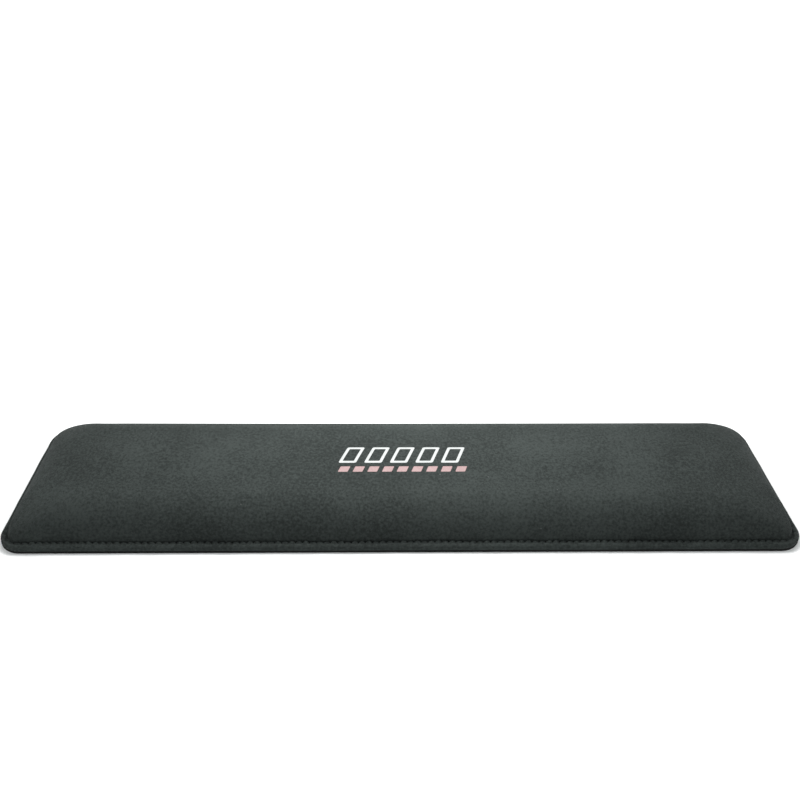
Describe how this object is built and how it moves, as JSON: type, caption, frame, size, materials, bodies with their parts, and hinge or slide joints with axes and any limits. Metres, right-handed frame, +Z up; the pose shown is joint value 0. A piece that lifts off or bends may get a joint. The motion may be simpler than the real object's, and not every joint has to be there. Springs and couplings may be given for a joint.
{
  "type": "keyboard wrist rest",
  "caption": "Long low padded rest with rounded sides, a knitted cover sewn round the edge to a thin rubber sheet, and an abstract printed mark on top.",
  "frame": {"origin": "centre of the flat underside of the base sheet", "axes": "+X to the right along the width, +Y from the user towards the keyboard, +Z up from the desk"},
  "size_m": [0.484, 0.116, 0.0251],
  "materials": {
    "base_rubber": "matt black non-slip rubber sheet with a fine moulded grip texture underneath",
    "core_foam": "open-cell slow-rebound polyurethane foam, sealed inside the cover",
    "backing_foam": "thin dark sponge laminated to the back of the cover",
    "cover_fabric": "fine black stretch knit with a soft grey sheen",
    "thread": "twisted black polyester sewing thread",
    "print_white": "white heat-transfer film, slightly satin",
    "print_red": "pale red heat-transfer film, slightly satin"
  },
  "bodies": {
    "root": {"base_sheet": "base_rubber", "foam_core": "core_foam", "cover_backing_foam": "backing_foam", "cover_fabric": "cover_fabric", "needle_thread": "thread", "bobbin_thread": "thread", "print_white": "print_white", "print_red": "print_red"}
  },
  "joints": []
}
